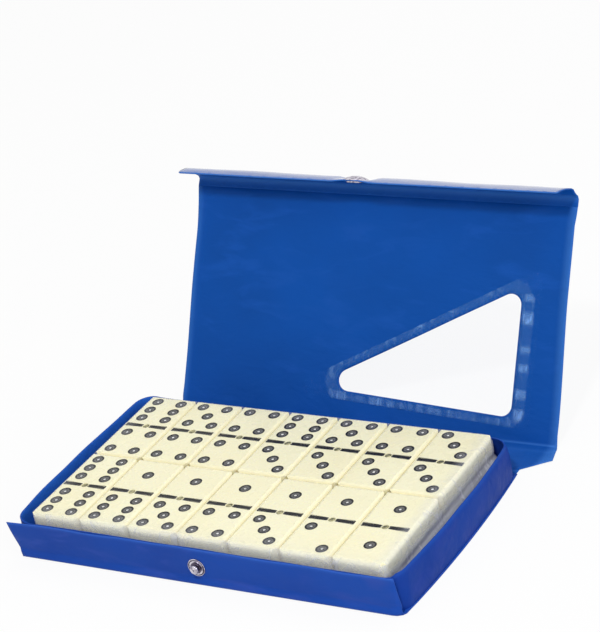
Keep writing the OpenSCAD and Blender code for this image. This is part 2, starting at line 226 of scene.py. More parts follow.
def ivory():
    """Cast resin, a little cloudy, with a slow drift of colour from tile to tile. Its colour is
    painted darker along the seams where one tile lies against the next: painted shade in the gaps."""
    material, tree, shader = new_material("ivory_plastic")
    place = place_output(tree)
    body = ramp(tree, noise_output(tree, place, 30, 1), (0.3, (0.955, 0.895, 0.60)),
                (0.7, (0.975, 0.930, 0.65)))
    apart = add_node(tree, "SeparateXYZ", Vector=place).outputs
    along = maths(tree, "FRACT", maths(tree, "DIVIDE", apart["X"], TILE_PITCH))
    from_seam = maths(tree, "ABSOLUTE", maths(tree, "SUBTRACT", along, 0.5))
    no_seam = map_range(tree, maths(tree, "ABSOLUTE", apart["X"]), *ROW_ENDS, 0, 9 * MM)
    from_seam = maths(tree, "ADD", maths(tree, "MULTIPLY", from_seam, TILE_PITCH), no_seam)
    nearest = maths(tree, "MINIMUM", from_seam, maths(tree, "ABSOLUTE", apart["Y"]))
    # Painted shade along the seams between tiles
    seam = map_range(tree, nearest, 0.2 * MM, 1.8 * MM, 1, 0)
    scuff = noise_output(tree, place, 4, 5)
    set_inputs(tree, shader, Base_Color=mix_colour(tree, seam, body, (0.90, 0.84, 0.57)),
               Roughness=map_range(tree, scuff, 0.3, 0.7, 0.22, 0.34), Specular_IOR_Level=0.45,
               Subsurface_Weight=0.12, Subsurface_Scale=2.5 * MM,
               Subsurface_Radius=(1.0, 0.85, 0.5))
    bump(tree, shader, (noise_output(tree, place, 2.2, 2), 0.004 * MM))
    return material


def enamel(name, colour, roughness):
    material, tree, shader = new_material(name)
    blotch = noise_output(tree, place_output(tree), 1.6)
    lighter = tuple(min(1, 1.9 * c + 0.004) for c in colour)
    set_inputs(tree, shader, Base_Color=ramp(tree, blotch, (0.35, colour), (0.75, lighter)),
               Roughness=map_range(tree, blotch, 0.3, 0.7, roughness, roughness + 0.15),
               Specular_IOR_Level=0.25)
    bump(tree, shader, (blotch, 0.03 * MM))
    return material


def metal(name, colour, stain_and_reflection, roughness):
    material, tree, shader = new_material(name)
    # Darker patches: tarnish on the brass, and painted reflections of dark surroundings on the
    # nickel
    tarnish_and_reflection = noise_output(tree, place_output(tree), 1.5, 2)
    brushed = noise_output(tree, place_output(tree, (1, 6, 6)), 0.8)
    set_inputs(tree, shader, Base_Color=ramp(tree, tarnish_and_reflection, (0.42, colour), (0.62, stain_and_reflection)),
               Roughness=map_range(tree, brushed, 0.3, 0.7, roughness, roughness + 0.12),
               Metallic=1.0)
    bump(tree, shader, (brushed, 0.01 * MM))
    return material


IVORY = ivory()
BLACK = enamel("black_paint", (0.006, 0.006, 0.007), 0.25)
# The pips' grey ring is a painted reflection, and their light point a painted highlight
PIP_RING_REFLECTION = enamel("black_paint_ring_reflection", (0.088, 0.088, 0.086), 0.3)
PIP_POINT_HIGHLIGHT = enamel("black_paint_point_highlight", (0.58, 0.58, 0.56), 0.3)
BRASS = metal("pin_brass", (0.46, 0.43, 0.25), (0.17, 0.16, 0.09), 0.28)
# The nickel's dark patches are painted reflections
NICKEL = metal("snap_metal", (0.66, 0.63, 0.70), (0.24, 0.21, 0.28), 0.12)
# Painted shade for the snap parts' grooves and hollows
NICKEL_SHADE = metal("snap_metal_painted_shade", (0.13, 0.11, 0.16), (0.05, 0.04, 0.07), 0.24)


def clear_film(name, clear, veil, cloudy, tints, fold_size, stretch):
    """Clear film: nearly nothing face on, and whiter and less clear where its attribute says so,
    from
    veil between the folds to cloudy on them: partly the film's own cloudiness, partly painted sheen
    and glints."""
    material, tree, shader = new_material(name)
    place = place_output(tree, stretch)
    folds = noise_output(tree, place, fold_size, 4, 0.6, 1.2)
    density = map_range(tree, folds, 0.50, 0.66, veil, cloudy)
    haze_and_sheen = maths(tree, "MULTIPLY", density, attribute(tree, "milky"))
    shown = maths(tree, "ADD", haze_and_sheen, clear)
    fine = noise_output(tree, place, fold_size * 0.3)
    set_inputs(tree, shader, Base_Color=mix_colour(tree, haze_and_sheen, *tints),
               Alpha=maths(tree, "MULTIPLY", shown, attribute(tree, "present")),
               Roughness=map_range(tree, fine, 0.3, 0.7, 0.08, 0.20),
               Specular_IOR_Level=0.7, IOR=1.45)
    bump(tree, shader, (folds, 0.45 * MM), (fine, 0.1 * MM))
    return material


# For both films the second tint is the colour of the painted sheen and glints
WINDOW_FILM = clear_film("window_film", 0.012, 0.5, 0.9, ((0.04, 0.24, 0.72), (0.20, 0.42, 0.88)),
                         2.6, (1, 0.25, 0.25))
SHRINK_FILM = clear_film("shrink_film", 0.02, 0.54, 0.95, ((0.82, 0.86, 0.97), (0.96, 0.96, 0.98)),
                         8, (1, 1.4, 0.7))


# Meshes

def add_piece(name, points, faces, materials, smooth_angle=None, marks=None):
    """A mesh piece. marks gives each face the number of its material."""
    mesh = bpy.data.meshes.new(name)
    mesh.from_pydata([tuple(p) for p in points], [], faces)
    for material in materials:
        mesh.materials.append(material)
    if marks:
        mesh.polygons.foreach_set("material_index", marks)
    mesh.validate()
    mesh.update()
    piece = bpy.data.objects.new(name, mesh)
    bpy.context.scene.collection.objects.link(piece)
    mesh.shade_smooth()
    if smooth_angle is not None:
        mesh.set_sharp_from_angle(angle=math.radians(smooth_angle))
    return piece


def point_values(piece, name, values):
    layer = piece.data.attributes.new(name, "FLOAT", "POINT")
    layer.data.foreach_set("value", values)


def ease(low, high, value):
    """A smooth step from 0 at low to 1 at high, also where low is the greater."""
    t = min(1, max(0, (value - low) / (high - low)))
    return t * t * (3 - 2 * t)


def ease_mm(low, high, value):
    """The same with low and high in millimetres."""
    return ease(low * MM, high * MM, value)


def wave(seed, size, *place):
    """Slow noise between -1 and 1, with swells of a size in millimetres."""
    return noise.noise(Vector((*place, 0, 0)[:3]) / (size * MM) + Vector((seed, 2.7 * seed, 0)))


def inside(points, ring):
    """Which of the points are inside a closed outline."""
    a, b = np.array(ring), np.roll(np.array(ring), 1, axis=0)
    x, y = points[:, :1], points[:, 1:]
    spans = (a[:, 1] > y) != (b[:, 1] > y)
    rise = np.where(a[:, 1] == b[:, 1], 1.0, a[:, 1] - b[:, 1])
    crossing = (a[:, 0] - b[:, 0]) * (y - b[:, 1]) / rise + b[:, 0]
    return (spans & (x < crossing)).sum(1) % 2 == 1


def gap(points, ring):
    """How far each point is from a closed outline."""
    a = np.array(ring)
    along = np.roll(a, -1, axis=0) - a
    away = points[:, None, :] - a[None]
    share = np.clip((away * along).sum(2) / (along ** 2).sum(1), 0, 1)
    return np.sqrt(((away - share[..., None] * along) ** 2).sum(2)).min(1)


def resample(outline, step):
    """The closed outline with each side cut into lengths of about step."""
    points = []
    for i, b in enumerate(outline):
        a = outline[i - 1]
        count = max(1, round(math.dist(a, b) / step))
        points += [(a[0] + (b[0] - a[0]) * k / count, a[1] + (b[1] - a[1]) * k / count)
                   for k in range(count)]
    return points


def round_corners(corners, radii, steps=8):
    """A closed outline whose corners are rounded, each with its own radius."""
    points = []
    count = len(corners)
    for i, corner in enumerate(corners):
        b = Vector(corner)
        to_a = (Vector(corners[i - 1]) - b).normalized()
        to_c = (Vector(corners[(i + 1) % count]) - b).normalized()
        half = to_a.angle(to_c) / 2
        radius = radii[i] if isinstance(radii, (list, tuple)) else radii
        centre = b + (to_a + to_c).normalized() * radius / math.sin(half)
        start = b + to_a * radius / math.tan(half) - centre
        sweep = (math.pi - 2 * half) * -(1 if to_a.cross(to_c) > 0 else -1)
        points += [tuple(centre + Matrix.Rotation(sweep * k / steps, 2) @ start)
                   for k in range(steps + 1)]
    return points


def circle(x, s, radius, step):
    """A closed outline round (x, s), with a corner at each step of degrees."""
    return [(x + radius * math.cos(math.radians(a)), s + radius * math.sin(math.radians(a)))
            for a in range(0, 360, step)]


# How far the grid's points stay from an outline, how far a sheet's rim stands out as a share of
# half its thickness, and how much more painted highlight the rim gets
GRID_CLEAR = 0.45 * MM
RIM_ROUND, RIM_PAINTED_LIGHT = 0.7, 0.35


def flat_mesh(outline, holes, rows, columns):
    """Triangles that fill an outline with holes, on a grid of rows and columns."""
    points, edges = [], []
    for ring in [outline] + holes:
        first = len(points)
        points += ring
        edges += [(first + i, first + (i + 1) % len(ring)) for i in range(len(ring))]
    grid = np.array([(x, y) for y in rows for x in columns])
    keep = inside(grid, outline) & (gap(grid, outline) > GRID_CLEAR)
    for hole in holes:
        keep &= ~inside(grid, hole) & (gap(grid, hole) > GRID_CLEAR)
    points += grid[keep].tolist()
    made, _, faces, *_ = delaunay_2d_cdt([Vector(p) for p in points], edges, [], 1, 1e-7)
    places = np.array([tuple(p) for p in made])
    middles = np.array([places[face].mean(0) for face in faces])
    keep = inside(middles, outline)
    for hole in holes:
        keep &= ~inside(middles, hole)
    kept = []
    for face in (face for face, shown in zip(faces, keep) if shown):
        area = sum(made[face[k - 1]].cross(made[face[k]]) for k in range(len(face)))
        kept.append(tuple(face) if area > 0 else tuple(reversed(face)))
    return [(p.x, p.y) for p in made], kept


def sheet(name, outline, holes, rows, columns, surface, thickness, materials, **shares):
    """A bent sheet with rounded rims. surface(x, s) gives a point of its middle surface, and each
    of the shares gives an attribute of the material there. The last of the materials is on the
    underside."""
    flat, faces = flat_mesh(outline, holes, rows, columns)
    d = 0.05 * MM

    def frame_at(x, s):
        middle = Vector(surface(x, s))
        along = Vector(surface(x + d, s)) - Vector(surface(x - d, s))
        up = Vector(surface(x, s + d)) - Vector(surface(x, s - d))
        return middle, along.cross(up).normalized()

    frames = [frame_at(x, s) for x, s in flat]
    count = len(flat)
    half = thickness / 2
    points = [m + n * half for m, n in frames] + [m - n * half for m, n in frames]
    solid = list(faces) + [tuple(count + i for i in reversed(face)) for face in faces]
    edges = [(face[k - 1], face[k]) for face in faces for k in range(len(face))]
    met = set(edges)
    border = [(a, b) for a, b in edges if (b, a) not in met]
    outward = {}
    for a, b in border:
        side = (frames[b][0] - frames[a][0]).cross(frames[a][1] + frames[b][1]).normalized()
        for i in (a, b):
            outward[i] = outward.get(i, Vector()) + side
    rim = {}
    for i, side in outward.items():
        rim[i] = len(points)
        points.append(frames[i][0] + side.normalized() * half * RIM_ROUND)
    for a, b in border:
        solid += [(a, rim[a], rim[b], b), (rim[a], count + a, count + b, rim[b])]
    marks = ([0] * len(faces) + [len(materials) - 1] * len(faces)
             + [0] * (len(solid) - 2 * len(faces)))
    piece = add_piece(name, points, solid, materials, marks=marks)
    for key, share in shares.items():
        values = [share(x, s) for x, s in flat]
        # A sheet's rim gets more of the painted highlight
        more = RIM_PAINTED_LIGHT if key == "pale" else 0
        point_values(piece, key, values + values + [min(1.0, values[i] + more) for i in rim])
    return piece


def spread(low, high, step):
    """Evenly spread places from low to high, about a step apart."""
    count = max(1, round((high - low) / step))
    return [low + (high - low) * i / count for i in range(count + 1)]


# The cover. Its sheet is described by x and by the length s along the sheet from a crease.

LID_LEFT, LID_RIGHT = lid_low.x, lid_high.x
BASE_LEFT, BASE_RIGHT = spine_low.x, -spine_low.x
# Where the flap's sheet and the spine's sheet start, from their creases
FOLD_START = 5 * MM
SPINE_START = 2 * MM
# The curled strip down the lid's sides, its dome, and its flare at the top left
CURL = 5 * MM
LID_DOME = 0.6 * MM
TOP_FLARE = 2.8 * MM
# The bend at the lid crease: its radius, and half its length when the lid turns
BEND_R = 2.5 * MM
LID_NORMAL = Vector((0, -LID_UP.z, LID_UP.y))


def lid_left(s):
    """The lid's left edge, which stands out towards the flap."""
    return (LID_LEFT - 0.4 * TOP_FLARE * ease_mm(22, 60, s)
            - 0.6 * TOP_FLARE * ease(82 * MM, LID_LENGTH, s))


def lid_right(s):
    """The lid's right edge, which stands out a little at its foot and at its top corner."""
    return LID_RIGHT + 1.6 * MM * (1 - ease_mm(12, 65, s)) + 1.0 * MM * ease_mm(96, 105, s)


def lid_swell(x, s):
    """How far the lid's sheet stands off its plane, towards the tiles. It domes a little the other
    way, which leaves the tiles room when the case is shut."""
    edge = min(s, LID_LENGTH - s) / (12 * MM)
    hold = ease(0, 1, edge)
    slow = 0.7 * MM * wave(3, 70, x, s) + 0.25 * MM * wave(8, 26, x, s) - LID_DOME
    side = 0.8 * MM * (ease(CURL, 0, lid_right(s) - x)
                       + ease(CURL, 0, x - lid_left(s))) * ease(0, 1, 2 * edge)
    return hold * slow + side


def spine_lid(x, s):
    """The sheet from the spine over the lid crease and up the lid. s is 0 on the crease."""
    bend = math.tan(LID_RISE / 2) * BEND_R
    if s <= -bend:
        lift = 0.35 * MM * wave(5, 30, x, s) * ease_mm(0, 8, -s - bend) * ease_mm(
            0, 5, s + SPINE_LENGTH - SPINE_START)
        flare = ease(BASE_RIGHT, LID_RIGHT + 3 * MM, x) * ease_mm(0, 6, -s)
        return LID_CREASE + Vector((x, s, max(0, lift) + 0.3 * MM * flare))
    if s >= bend:
        return LID_CREASE + Vector((x, 0, 0)) + LID_UP * s + LID_NORMAL * lid_swell(x, s)
    angle = LID_RISE * (s + bend) / (2 * bend)
    centre = LID_CREASE + Vector((x, -bend, BEND_R))
    return centre + Vector((0, math.sin(angle), -math.cos(angle))) * BEND_R


def edge_pale(x, s):
    """Where the lid's sheet gets painted light: painted highlights on its curled sides and on two
    lines by the crease, and a little painted light on the spine.
    """
    side = max(ease(CURL, 1 * MM, lid_right(s) - x), ease(0.6 * CURL, 0, x - lid_left(s)))
    crease = max(0.0, 1 - abs(s - 0.3 * MM) / (0.9 * MM), 1 - abs(s + 4 * MM) / (0.8 * MM))
    return min(1.0, 0.5 * side + 0.55 * crease + 0.13 * ease(0, -4 * MM, s))


FLARE_AT = 11 * MM
spine_lid_outline = [
    (BASE_LEFT, SPINE_START - SPINE_LENGTH),
    (BASE_RIGHT, SPINE_START - SPINE_LENGTH),
    (spine_high.x, FLARE_AT - SPINE_LENGTH),
]
lid_side = spread(1 * MM, LID_LENGTH - FOLD_START, 4 * MM)
spine_lid_outline += [(lid_right(s), s) for s in lid_side]
spine_lid_outline += [(lid_left(s), s) for s in reversed(lid_side)]

# The window's corners on the lid, as (x, s)
WINDOW_RIGHT = 80.2 * MM
WINDOW = [(WINDOW_RIGHT, 10.6 * MM), (WINDOW_RIGHT, 68.6 * MM), (-22.8 * MM, 15.6 * MM)]
WINDOW_CORNER_R = 5.2 * MM
window_outline = round_corners(WINDOW, WINDOW_CORNER_R)

lid_rows = sorted(set(
    spread(SPINE_START - SPINE_LENGTH, -3 * MM, 1.6 * MM)
    + spread(-3 * MM, 3 * MM, 0.4 * MM)
    + spread(3 * MM, LID_LENGTH - FOLD_START, 2.6 * MM)))
lid_columns = sorted(set(
    spread(LID_LEFT, LID_LEFT + 8 * MM, 1 * MM)
    + spread(LID_LEFT + 8 * MM, LID_RIGHT - 8 * MM, 2.8 * MM)
    + spread(LID_RIGHT - 8 * MM, LID_RIGHT, 1 * MM)))
cover_lid = sheet(
    "cover_spine_lid", resample(spine_lid_outline, 2.2 * MM), [resample(window_outline, 1 * MM)],
    lid_rows, lid_columns, spine_lid, SHEET, [COVER, COVER_OUTSIDE], pale=edge_pale)
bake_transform(cover_lid)
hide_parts("spine_panel", "lid_panel")


# The flap: a tight round fold at the lid's far edge, then a soft bow that droops at the lip

FLAP_DEPTH = 18.5 * MM
FOLD_R = 2.6 * MM
FLAP_TURN = math.radians(90)
FLAP_ANGLE = LID_RISE + FLAP_TURN
FLAP_ALONG = Vector((0, math.cos(FLAP_ANGLE), math.sin(FLAP_ANGLE)))
FLAP_OUT = Vector((0, math.sin(FLAP_ANGLE), -math.cos(FLAP_ANGLE)))
FLAP_SNAP_AT = 12.97 * MM
CREST, LIP_DROP = 2.1 * MM, 1.0 * MM
SNAP_LIFT, SNAP_SLOPE = 0.4 * MM, 0.11


def flap_bow(x, d):
    """How far the flap stands off its plane, outwards, at a distance d from the crease. It bows
    out and droops at the lip, and the snap's discs keep it flat round them."""
    right = ease(LID_LEFT, LID_RIGHT, x)
    crest_at = (10.5 - 3.5 * right) * MM
    if d < crest_at:
        bow = CREST * ease(FOLD_R, crest_at, d)
    else:
        share = (d - crest_at) / (FLAP_DEPTH - crest_at)
        bow = CREST - (CREST + LIP_DROP) * max(0, share) ** 1.7
    calm = ease_mm(3, 8, d) * (1 - 0.75 * ease_mm(11, 18, d))
    bow += 0.4 * MM * wave(11, 34, x, 2 * d) * calm
    flat = 1 - ease_mm(6, 12, math.hypot(x - SNAP_X, d - FLAP_SNAP_AT))
    return bow + flat * (SNAP_LIFT - SNAP_SLOPE * (d - FLAP_SNAP_AT) - bow)


def flap_surface(x, s):
    """The sheet from the lid over the fold and along the flap. s is 0 at the fold's middle."""
    crease = FLAP_CREASE + Vector((x, 0, 0))
    tangent = FOLD_R * math.tan(FLAP_TURN / 2)
    arc = FOLD_R * FLAP_TURN / 2
    if s < -arc:
        d = s + arc - tangent
        return crease + LID_UP * d + LID_NORMAL * lid_swell(x, LID_LENGTH + d)
    if s > arc:
        d = s - arc + tangent
        return crease + FLAP_ALONG * d + FLAP_OUT * flap_bow(x, d)
    angle = LID_RISE + FLAP_TURN * (s + arc) / (2 * arc)
    centre = crease - LID_UP * tangent + LID_NORMAL * FOLD_R
    return centre + Vector((0, math.sin(angle), -math.cos(angle))) * FOLD_R


fold_slack = FOLD_R * (math.tan(FLAP_TURN / 2) - FLAP_TURN / 2)
flap_start = fold_slack - FOLD_START
flap_end = FLAP_DEPTH - fold_slack
FLAP_SKEW = 1 * MM
flap_outline = round_corners([
    (lid_left(LID_LENGTH - FOLD_START), flap_start),
    (lid_right(LID_LENGTH - FOLD_START), flap_start),
    (LID_RIGHT + 0.8 * MM, 0.3 * flap_end),
    (LID_RIGHT - FLAP_SKEW, flap_end),
    (LID_LEFT - TOP_FLARE - 0.3 * FLAP_SKEW, flap_end),
    (LID_LEFT - TOP_FLARE, 0.3 * flap_end)], [r * MM for r in (0.2, 0.2, 1.2, 1.5, 1.2, 1.2)])
snap_hole = circle(SNAP_X, FLAP_SNAP_AT - fold_slack, 2.9 * MM, 20)


def lip_pale(x, s):
    # Painted sheen along the flap's lip and over its fold
    lip = ease(flap_end - 2.5 * MM, flap_end, s)
    fold = 1 - ease_mm(0, 4, abs(s))
    return min(1.0, 0.45 * lip + 0.5 * fold)


cover_flap = sheet(
    "cover_flap", resample(flap_outline, 1.6 * MM), [snap_hole],
    spread(flap_start, flap_end, 0.7 * MM), spread(LID_LEFT - TOP_FLARE, LID_RIGHT, 2 * MM),
    flap_surface, SHEET, [COVER, COVER_OUTSIDE], pale=lip_pale)
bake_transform(cover_flap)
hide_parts("closure_flap")


# The base and the front panel are one sheet, folded up at the front

BASE_BACK = BACK_CREASE.y - SPINE_START
FRONT_TOP = front_high.z
FOOT_OUT = 1.3 * MM
FOOT_R = 1.0 * MM
FRONT_LEFT, FRONT_FOOT = front_low.x - 0.8 * MM, front_high.x
FRONT_RIGHT = FRONT_FOOT - 1.4 * MM


def base_bow(y):
    """Half the width of the base sheet, whose ends bow out as the tray's do."""
    t = min(1, abs(y) / wall_high.y)
    return base_high.x - (base_high.x - BASE_RIGHT) * t * t


foot_y = FRONT_Y - FOOT_OUT
foot_arc = FOOT_R * math.pi / 2


def corner_wrap(x):
    """How far the front panel's right end bends back, round the tray's corner."""
    return 3.2 * MM * ease_mm(91, 98.5, x)


def front_lean(x, z):
    """How far the front panel stands forward of its plane, by height over the fold."""
    out = FOOT_OUT * (1 - ease_mm(0, 2.4, z))
    left = 0.7 * MM * ease_mm(70, 97, -x) * ease_mm(2, 15, z)
    top = ease_mm(8, 17, z)
    ripple = 0.45 * MM * wave(17, 24, x, z) * top * ease_mm(6, 14, abs(x))
    return out + left - 0.2 * MM * top + ripple


def base_front(x, s):
    """The sheet along the base and up the front panel. s is 0 at the middle of the fold."""
    back = corner_wrap(x)
    if s > foot_arc / 2:
        behind = s - foot_arc / 2
        return Vector((x, foot_y + FOOT_R + behind + back * (1 - ease_mm(0, 12, behind)),
                       SHEET / 2))
    if s < -foot_arc / 2:
        z = SHEET / 2 + FOOT_R - s - foot_arc / 2
        wavy = 0.45 * MM * wave(23, 22, x) * ease_mm(6, 16, z)
        return Vector((x, FRONT_Y - front_lean(x, z - SHEET / 2 - FOOT_R) + back, z + wavy))
    angle = math.pi / 2 * (foot_arc / 2 - s) / foot_arc
    return Vector((x, foot_y + FOOT_R * (1 - math.sin(angle)) + back,
                   SHEET / 2 + FOOT_R * (1 - math.cos(angle))))


front_top_s = -(FRONT_TOP - SHEET / 2 - FOOT_R) - foot_arc / 2
base_back_s = BASE_BACK - foot_y - FOOT_R + foot_arc / 2
base_side = [(base_bow(y), y - foot_y - FOOT_R + foot_arc / 2)
             for y in spread(foot_y + 1.5 * FOOT_R, BASE_BACK, 4 * MM)]
front_outline = ([(FRONT_RIGHT, front_top_s), (FRONT_FOOT, -foot_arc)]
                 + [(x + 0.5 * MM, s) for x, s in base_side]
                 + [(-x, s) for x, s in reversed(base_side)]
                 + [(-FRONT_FOOT, 0.0), (FRONT_LEFT, front_top_s)])


def front_pale(x, s):
    # A painted highlight along the front panel's top edge
    return 0.75 * ease(-front_top_s - 1.2 * MM, -front_top_s, -s)


rivet_hole = circle(SNAP_X, -(SNAP_Z - SHEET / 2 - FOOT_R) - foot_arc / 2, 1.3 * MM, 30)
base_rows = sorted(set(
    spread(front_top_s, -1 * MM, 0.9 * MM) + spread(-1 * MM, 1 * MM, 0.25 * MM)
    + spread(1 * MM, base_back_s, 8 * MM)))
cover_base = sheet(
    "cover_base_front", resample(front_outline, 1.8 * MM), [rivet_hole], base_rows,
    spread(FRONT_LEFT, -FRONT_LEFT, 2.2 * MM), base_front, SHEET, [TRAY], pale=front_pale)
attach(cover_base, "case")
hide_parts("base_panel", "front_panel")

# The strip over the back crease, with a painted highlight along the crease
crease_outline = [(BASE_LEFT, -SPINE_START), (BASE_RIGHT, -SPINE_START),
                  (BASE_RIGHT, SPINE_START), (BASE_LEFT, SPINE_START)]
back_crease = sheet(
    "cover_back_crease", resample(crease_outline, 2 * MM), [],
    spread(-SPINE_START, SPINE_START, 0.4 * MM), spread(BASE_LEFT, BASE_RIGHT, 2 * MM),
    lambda x, s: BACK_CREASE + Vector((x, s, 0)), SHEET, [COVER, COVER_OUTSIDE],
    pale=lambda x, s: 0.4 * max(0.0, 1 - abs(s) / (1 * MM)))
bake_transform(back_crease)


# Window film, welded to the lid's inner face

SEAM = 4 * MM
SIDE_SEAM = 9 * MM
FILM = 0.25 * MM
FILM_GAP = 0.02 * MM


def grow(corners, distances):
    """The outline with each of its sides moved out by its own distance."""
    sides = []
    for i, distance in enumerate(distances):
        a, b = Vector(corners[i]), Vector(corners[(i + 1) % len(corners)])
        along = (b - a).normalized()
        sides.append((a + Vector((along.y, -along.x)) * distance, along))
    points = []
    for i, (start, along) in enumerate(sides):
        before, before_along = sides[i - 1]
        t = (start - before).cross(along) / before_along.cross(along)
        points.append(tuple(before + before_along * t))
    return points


seam_outline = round_corners(grow(WINDOW, [SIDE_SEAM, SEAM, SEAM]), SEAM)
window_points = np.array(resample(window_outline, 1 * MM))


def window_gap(x, s):
    """How far a place is from the window's edge, less than 0 inside the window."""
    place = np.array([(x, s)])
    away = float(gap(place, window_points)[0])
    return -away if inside(place, window_points)[0] else away


def film_surface(x, s):
    rise = SHEET / 2 + FILM / 2 + FILM_GAP
    slack = 0.5 * MM * (wave(31, 18, x, s) - 0.6) * ease_mm(0, 8, -window_gap(x, s))
    return spine_lid(x, s) + LID_NORMAL * (rise + slack)


# Patches of painted glint down the wide seam at the window's right, each as (middle, half height)
# in mm
SIDE_PATCHES = [(12, 2.4), (21.3, 1.9), (32.9, 1.5), (41, 1.4), (54.6, 2.6), (63.8, 1.4),
                (71, 1.7)]
SIDE_GLINT_REACH = 6.3 * MM


def seam_painted_glints(x, s):
    """How much painted glint the film's seam gets: an even band round the window, with loose
    patches down its wide side, a comb of short strokes under the window and a few spots over it."""
    edge = window_gap(x, s)
    band = ease_mm(0.4, 1.1, edge) * ease_mm(7.2, 5.8, edge)
    if x > WINDOW_RIGHT:
        out = x - WINDOW_RIGHT
        patch = max(ease_mm(half + 0.8, half - 0.7, abs(s - at * MM))
                    for at, half in SIDE_PATCHES)
        shown = 0.2 + 0.75 * patch * ease_mm(0.6, 2.4, out)
        return band * shown * (1 - ease(SIDE_GLINT_REACH, SIDE_GLINT_REACH + 0.6 * MM, out))
    low_side = WINDOW[2][1] + (x - WINDOW[2][0]) / (WINDOW[0][0] - WINDOW[2][0]) * (
        WINDOW[0][1] - WINDOW[2][1])
    if s < low_side:
        strokes = ease(-0.3, 0.3, wave(67, 3, x))
        return band * (0.22 + 0.55 * strokes * (1 - 0.55 * ease_mm(0, 70, x)))
    spots = ease(0.1, 0.3, wave(71, 3.5, x, s)) * ease_mm(2.2, 3, edge)
    return band * (0.22 + 0.45 * spots)


window_film = sheet(
    "window_film_piece", resample(seam_outline, 1 * MM), [],
    spread(4 * MM, 76 * MM, 1.1 * MM), spread(-40 * MM, 92 * MM, 1.0 * MM),
    film_surface, FILM, [WINDOW_FILM], milky=seam_painted_glints, present=lambda x, s: 1.0)
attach(window_film, "lid")
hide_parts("window_film")


# Tray wall: a soft band welded to the base, with a rolled top edge

WALL = 0.7 * MM
WALL_TOP = wall_high.z
WALL_R = 8 * MM
WALL_HALF_Y = wall_high.y
END_BOW = 2.2 * MM
WALL_CORNER_X = wall_high.x - END_BOW
END_STEPS, CORNER_STEPS, SIDE_STEPS = 52, 14, 100
# How the wall gives: a slow sag, a belly, and a hollow at the back that leaves the spine room
WALL_SAG, WALL_BELLY, BACK_HOLLOW = 0.35 * MM, 0.4 * MM, 0.45 * MM


def wall_plan():
    """Points round the tray's plan, each as (x, y, outward x, outward y)."""
    bow_r = (WALL_HALF_Y ** 2 + END_BOW ** 2) / (2 * END_BOW)
    bow_x = bow_r - WALL_CORNER_X - END_BOW
    corner_y = WALL_HALF_Y - WALL_R
    corner_x = math.sqrt((bow_r - WALL_R) ** 2 - corner_y ** 2) - bow_x
    touch = math.atan2(corner_y, corner_x + bow_x)
    points = []

    def arc(cx, cy, r, start, end, steps):
        for i in range(steps):
            a = start + (end - start) * i / steps
            points.append((cx + r * math.cos(a), cy + r * math.sin(a), math.cos(a), math.sin(a)))

    arc(-bow_x, 0, bow_r, -touch, touch, END_STEPS)
    arc(corner_x, corner_y, WALL_R, touch, math.pi / 2, CORNER_STEPS)
    points += [(corner_x - 2 * corner_x * i / SIDE_STEPS, WALL_HALF_Y, 0.0, 1.0)
               for i in range(SIDE_STEPS)]
    arc(-corner_x, corner_y, WALL_R, math.pi / 2, math.pi - touch, CORNER_STEPS)
    return points + [tuple(-value for value in point) for point in points]


def wall_section():
    """The wall's section as (outwards, height share) steps, up outside and down inside."""
    heights = (0, 0.02, 0.06, 0.15, 0.3, 0.45, 0.6, 0.72, 0.8, 0.86, 0.91, 0.95, 0.98)
    outer = [(0.0, h) for h in heights]
    top = [(-WALL / 2 + WALL / 2 * math.cos(a), 0.985 + 0.015 * math.sin(a))
           for a in (0.3, 0.9, 1.57, 2.2, 2.9)]
    inner = [(-WALL, h) for h in (0.98, 0.95, 0.9, 0.8, 0.6, 0.4, 0.2, 0.08)]
    foot = [(-WALL - 0.1 * MM, 0.045), (-WALL - 0.5 * MM, 0.033), (-WALL - 1.2 * MM, 0.03),
            (-WALL - 1.2 * MM, 0.0)]
    return outer + top + inner + foot


def behind_front(x, y):
    """1 where the wall is behind the front panel, whose top edge hides it."""
    return ease_mm(49, 52.5, -y) * ease_mm(-92, -86, x) * (1 - ease_mm(91, 95, x))


def wall_height(x, y):
    """The top edge is wavy, and lower at the right end than at the left."""
    drop = 1.2 * MM * ease_mm(60, 96, x) * ease_mm(-60, 20, y + 20 * MM)
    left = 0.3 * MM * ease_mm(40, 90, -x)
    return (WALL_TOP - SHEET - drop + left - 1.5 * MM * behind_front(x, y)
            + 0.4 * MM * wave(41, 26, x, y))


plan = wall_plan()
section = wall_section()
wall_points, wall_pale = [], []
for x, y, nx, ny in plan:
    height = wall_height(x, y)
    right_end = ease_mm(84, 92, x)
    left_end = ease_mm(84, 92, -x)
    front = behind_front(x, y)
    at_spine = ease(0.5, 0.95, ny)
    for out, share in section:
        z = share * height
        roll = (0.4 + 0.3 * right_end) * MM * ease(0.80, 1.0, share) ** 2 * (1 - left_end)
        lean = 0.25 * MM * left_end * ease(0.35, 1.0, share)
        sag = WALL_SAG * wave(43, 19, x, y, z) * ease(0.1, 0.5, share)
        belly = WALL_BELLY * math.sin(math.pi * min(1, share * 1.1)) * (1 - front)
        give = (sag + belly) * (1 - 0.8 * front) - 0.25 * MM * front * share
        hollow = min(sag, 0) - BACK_HOLLOW * math.sin(math.pi * share)
        move = out - roll + lean + give + (hollow - give) * at_spine
        wall_points.append(Vector((x + nx * move, y + ny * move, SHEET + z)))
        # Painted light: a painted highlight along the outer face's top, and the inner face at the
        # left end painted lighter as if lit
        if out > -0.9 * WALL:
            wall_pale.append(0.15 * ease(0.90, 0.96, share))
        else:
            wall_pale.append(0.9 * left_end * ease(0.1, 0.6, share))
size = len(section)
wall_faces = []
for a in range(0, len(wall_points), size):
    b = (a + size) % len(wall_points)
    wall_faces += [(a + k, b + k, b + (k + 1) % size, a + (k + 1) % size) for k in range(size)]
tray = add_piece("tray_band", wall_points, wall_faces, [TRAY_BAND], 60)
